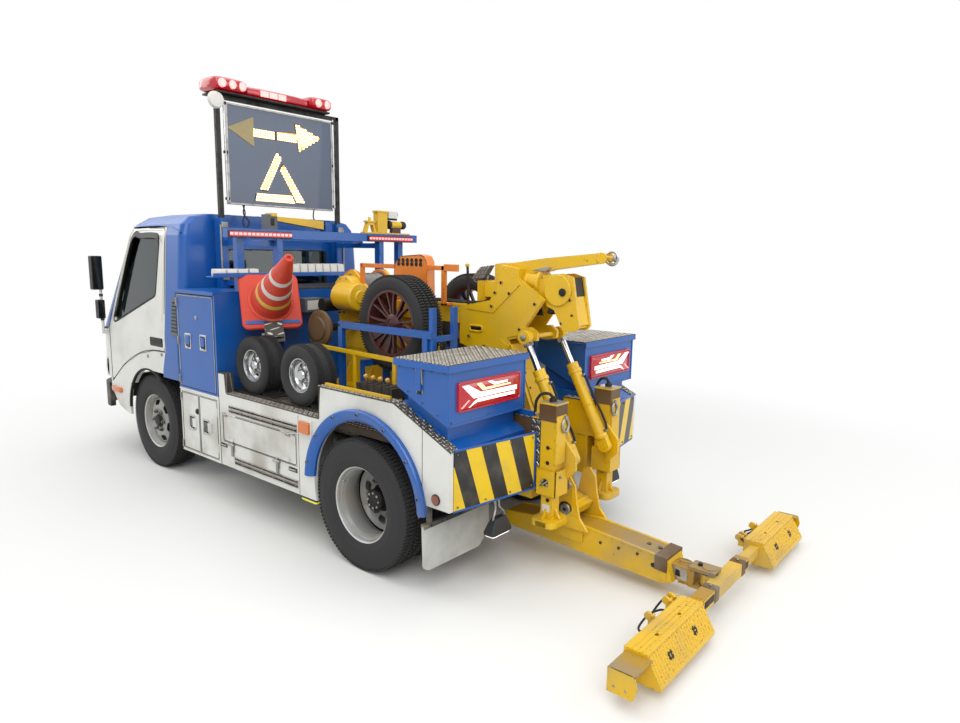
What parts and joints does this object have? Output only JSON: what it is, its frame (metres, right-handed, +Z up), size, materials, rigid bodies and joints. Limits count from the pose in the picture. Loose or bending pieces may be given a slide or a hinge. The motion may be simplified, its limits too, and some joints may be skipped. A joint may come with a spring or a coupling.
{
  "type": "tow truck",
  "caption": "Light cab-over tow truck with a hinged boom and mast, a sliding underlift with a crossbar, stabiliser legs, lockers, stowed wheels and a raised arrow sign",
  "frame": {"origin": "On the ground below the middle of the bounding box, on the centre plane of the truck.", "axes": "X runs forward along the truck, Y to its left and Z up."},
  "size_m": [5.39, 2.14, 2.93],
  "materials": {
    "blue_paint": "gloss blue paint",
    "white_paint": "gloss white paint",
    "yellow_paint": "gloss amber yellow paint",
    "chassis_paint": "satin black chassis paint",
    "tyre_rubber": "worn black tyre",
    "wheel_steel": "silver grey wheel paint",
    "bright_rim": "bright steel rims",
    "cast": "dark castings",
    "deck": "aluminium tread plate",
    "rod_chrome": "hard chrome",
    "dark_steel": "worn steel",
    "lamp_red": "red lamp lenses",
    "cone_orange": "orange rubbery plastic",
    "glass": "tinted glass",
    "seat_cloth": "dark grey woven cloth",
    "dash_plastic": "dark grained plastic",
    "sign_grey": "dark grey sign board"
  },
  "bodies": {
    "chassis": {"chassis_frame": "chassis_paint", "engine_block": "cast", "rear_axle": "chassis_paint", "front_axle": "chassis_paint", "bed_floor": "deck", "side_panels": "white_paint", "arch_guards": "blue_paint", "lockers": "blue_paint", "tool_boxes": "blue_paint", "rear_panels": "blue_paint", "bed_lamps": "lamp_red", "headboard": "blue_paint", "stowed_tyres": "tyre_rubber", "stowed_rims": "bright_rim", "wheel_racks": "blue_paint", "traffic_cone": "cone_orange", "lift_frame": "yellow_paint"},
    "cab": {"cab_shell": "blue_paint", "cab_lower": "white_paint", "cab_glass": "glass", "seats": "seat_cloth", "dashboard": "dash_plastic"},
    "sign": {"sign_board": "sign_grey"},
    "drum": {"winch_drum": "dark_steel"},
    "boom": {"boom": "yellow_paint"},
    "beam": {"underlift_beam": "yellow_paint"},
    "stinger": {"stinger": "dark_steel"},
    "crossbar": {"crossbar": "yellow_paint"},
    "cab_door_left": {"cab_door_left": "white_paint", "door_glass_left": "glass"},
    "hub_left": {"knuckle_left": "cast"},
    "front_wheel_left": {"tyre_front_left": "tyre_rubber", "rim_front_left": "wheel_steel"},
    "rear_wheel_left": {"tyre_rear_left": "tyre_rubber", "rim_rear_left": "wheel_steel"},
    "tall_door_left": {"tall_door_left": "blue_paint"},
    "low_door_front_left": {"low_door_front_left": "white_paint"},
    "low_door_rear_left": {"low_door_rear_left": "white_paint"},
    "side_flap_left": {"side_flap_left": "white_paint"},
    "tool_lid_left": {"tool_lid_left": "deck"},
    "leg_left": {"leg_left": "yellow_paint"},
    "lift_barrel_left": {"lift_barrel_left": "yellow_paint"},
    "lift_rod_left": {"lift_rod_left": "rod_chrome"},
    "cab_door_right": {"cab_door_right": "white_paint", "door_glass_right": "glass"},
    "hub_right": {"knuckle_right": "cast"},
    "front_wheel_right": {"tyre_front_right": "tyre_rubber", "rim_front_right": "wheel_steel"},
    "rear_wheel_right": {"tyre_rear_right": "tyre_rubber", "rim_rear_right": "wheel_steel"},
    "tall_door_right": {"tall_door_right": "blue_paint"},
    "low_door_front_right": {"low_door_front_right": "white_paint"},
    "low_door_rear_right": {"low_door_rear_right": "white_paint"},
    "side_flap_right": {"side_flap_right": "white_paint"},
    "tool_lid_right": {"tool_lid_right": "deck"},
    "leg_right": {"leg_right": "yellow_paint"},
    "lift_barrel_right": {"lift_barrel_right": "yellow_paint"},
    "lift_rod_right": {"lift_rod_right": "rod_chrome"},
    "crossbar_arm_left": {"crossbar_arm_left": "yellow_paint"},
    "crossbar_arm_right": {"crossbar_arm_right": "yellow_paint"}
  },
  "joints": [
    {"name": "cab_tilt", "type": "hinge", "parent": "chassis", "child": "cab", "pos_m": [2.635, 0, 0.605], "axis": [0, 1, 0], "range_deg": [0, 45]},
    {"name": "cab_door_turn_left", "type": "hinge", "parent": "cab", "child": "cab_door_left", "pos_m": [2.33, 0.8475, 1], "axis": [0, 0, -1], "range_deg": [0, 65]},
    {"name": "steer_left", "type": "hinge", "parent": "chassis", "child": "hub_left", "pos_m": [1.65, 0.585, 0.369], "axis": [0, 0, 1], "range_deg": [-30, 30]},
    {"name": "front_wheel_spin_left", "type": "hinge", "parent": "hub_left", "child": "front_wheel_left", "pos_m": [1.65, 0.721, 0.369], "axis": [0, 1, 0], "continuous": true},
    {"name": "rear_wheel_spin_left", "type": "hinge", "parent": "chassis", "child": "rear_wheel_left", "pos_m": [-0.95, 0.72, 0.369], "axis": [0, 1, 0], "continuous": true},
    {"name": "tall_door_turn_left", "type": "hinge", "parent": "chassis", "child": "tall_door_left", "pos_m": [0.961, 0.928, 1.094], "axis": [0, 0, -1], "range_deg": [0, 100]},
    {"name": "low_door_front_turn_left", "type": "hinge", "parent": "chassis", "child": "low_door_front_left", "pos_m": [0.961, 0.928, 0.524], "axis": [0, 0, -1], "range_deg": [0, 100]},
    {"name": "low_door_rear_turn_left", "type": "hinge", "parent": "chassis", "child": "low_door_rear_left", "pos_m": [0.487, 0.928, 0.524], "axis": [0, 0, 1], "range_deg": [0, 90]},
    {"name": "side_flap_turn_left", "type": "hinge", "parent": "chassis", "child": "side_flap_left", "pos_m": [0.012, 0.928, 0.655], "axis": [1, 0, 0], "range_deg": [0, 100]},
    {"name": "tool_lid_turn_left", "type": "hinge", "parent": "chassis", "child": "tool_lid_left", "pos_m": [-1.404, 0.297, 1.195], "axis": [1, 0, 0], "range_deg": [0, 80]},
    {"name": "leg_slide_left", "type": "slide", "parent": "chassis", "child": "leg_left", "axis": [0, 0, -1], "range_m": [0, 0.28]},
    {"name": "cab_door_turn_right", "type": "hinge", "parent": "cab", "child": "cab_door_right", "pos_m": [2.33, -0.8475, 1], "axis": [0, 0, 1], "range_deg": [0, 65]},
    {"name": "steer_right", "type": "hinge", "parent": "chassis", "child": "hub_right", "pos_m": [1.65, -0.585, 0.369], "axis": [0, 0, 1], "range_deg": [-30, 30]},
    {"name": "front_wheel_spin_right", "type": "hinge", "parent": "hub_right", "child": "front_wheel_right", "pos_m": [1.65, -0.721, 0.369], "axis": [0, 1, 0], "continuous": true},
    {"name": "rear_wheel_spin_right", "type": "hinge", "parent": "chassis", "child": "rear_wheel_right", "pos_m": [-0.95, -0.72, 0.369], "axis": [0, 1, 0], "continuous": true},
    {"name": "tall_door_turn_right", "type": "hinge", "parent": "chassis", "child": "tall_door_right", "pos_m": [0.961, -0.928, 1.094], "axis": [0, 0, 1], "range_deg": [0, 100]},
    {"name": "low_door_front_turn_right", "type": "hinge", "parent": "chassis", "child": "low_door_front_right", "pos_m": [0.961, -0.928, 0.524], "axis": [0, 0, 1], "range_deg": [0, 100]},
    {"name": "low_door_rear_turn_right", "type": "hinge", "parent": "chassis", "child": "low_door_rear_right", "pos_m": [0.487, -0.928, 0.524], "axis": [0, 0, -1], "range_deg": [0, 90]},
    {"name": "side_flap_turn_right", "type": "hinge", "parent": "chassis", "child": "side_flap_right", "pos_m": [0.012, -0.928, 0.655], "axis": [-1, 0, 0], "range_deg": [0, 100]},
    {"name": "tool_lid_turn_right", "type": "hinge", "parent": "chassis", "child": "tool_lid_right", "pos_m": [-1.404, -0.297, 1.195], "axis": [-1, 0, 0], "range_deg": [0, 80]},
    {"name": "leg_slide_right", "type": "slide", "parent": "chassis", "child": "leg_right", "axis": [0, 0, -1], "range_m": [0, 0.28]},
    {"name": "boom_lift", "type": "hinge", "parent": "chassis", "child": "boom", "pos_m": [-0.3, 0, 1.33], "axis": [0, 1, 0], "range_deg": [0, 12]},
    {"name": "lift_barrel_turn_left", "type": "hinge", "parent": "chassis", "child": "lift_barrel_left", "pos_m": [-1.815, 0.17, 0.64], "axis": [0, 1, 0], "range_deg": [-7.42, 0.5]},
    {"name": "lift_rod_slide_left", "type": "slide", "parent": "lift_barrel_left", "child": "lift_rod_left", "axis": [0.4707, 0, 0.8823], "range_m": [-0.002, 0.229]},
    {"name": "lift_barrel_turn_right", "type": "hinge", "parent": "chassis", "child": "lift_barrel_right", "pos_m": [-1.815, -0.17, 0.64], "axis": [0, 1, 0], "range_deg": [-7.42, 0.5]},
    {"name": "lift_rod_slide_right", "type": "slide", "parent": "lift_barrel_right", "child": "lift_rod_right", "axis": [0.4707, 0, 0.8823], "range_m": [-0.002, 0.229]},
    {"name": "beam_tilt", "type": "hinge", "parent": "boom", "child": "beam", "pos_m": [-1.75, 0, 0.33], "axis": [0, 1, 0], "range_deg": [-1, 10]},
    {"name": "stinger_slide", "type": "slide", "parent": "beam", "child": "stinger", "axis": [-0.9981, 0, -0.061], "range_m": [0, 0.35]},
    {"name": "crossbar_swivel", "type": "hinge", "parent": "stinger", "child": "crossbar", "pos_m": [-2.53, 0, 0.13], "axis": [0, 0, 1], "range_deg": [-35, 35]},
    {"name": "crossbar_arm_slide_left", "type": "slide", "parent": "crossbar", "child": "crossbar_arm_left", "axis": [0, 1, 0], "range_m": [-0.02, 0.15]},
    {"name": "crossbar_arm_slide_right", "type": "slide", "parent": "crossbar", "child": "crossbar_arm_right", "axis": [0, -1, 0], "range_m": [-0.18, 0.02]},
    {"name": "sign_slide", "type": "slide", "parent": "chassis", "child": "sign", "axis": [0, 0, 1], "range_m": [-0.6, 0]},
    {"name": "drum_spin", "type": "hinge", "parent": "chassis", "child": "drum", "pos_m": [0.05, 0, 1.48], "axis": [0, 1, 0], "continuous": true}
  ],
  "couplings": [
    {"joint": "steer_right", "follows": "steer_left", "ratio": 1},
    {"joint": "lift_barrel_turn_left", "follows": "boom_lift", "ratio": -0.577},
    {"joint": "lift_rod_slide_left", "follows": "boom_lift", "m_per_rad": 1.0838},
    {"joint": "lift_barrel_turn_right", "follows": "boom_lift", "ratio": -0.577},
    {"joint": "lift_rod_slide_right", "follows": "boom_lift", "m_per_rad": 1.0838}
  ]
}
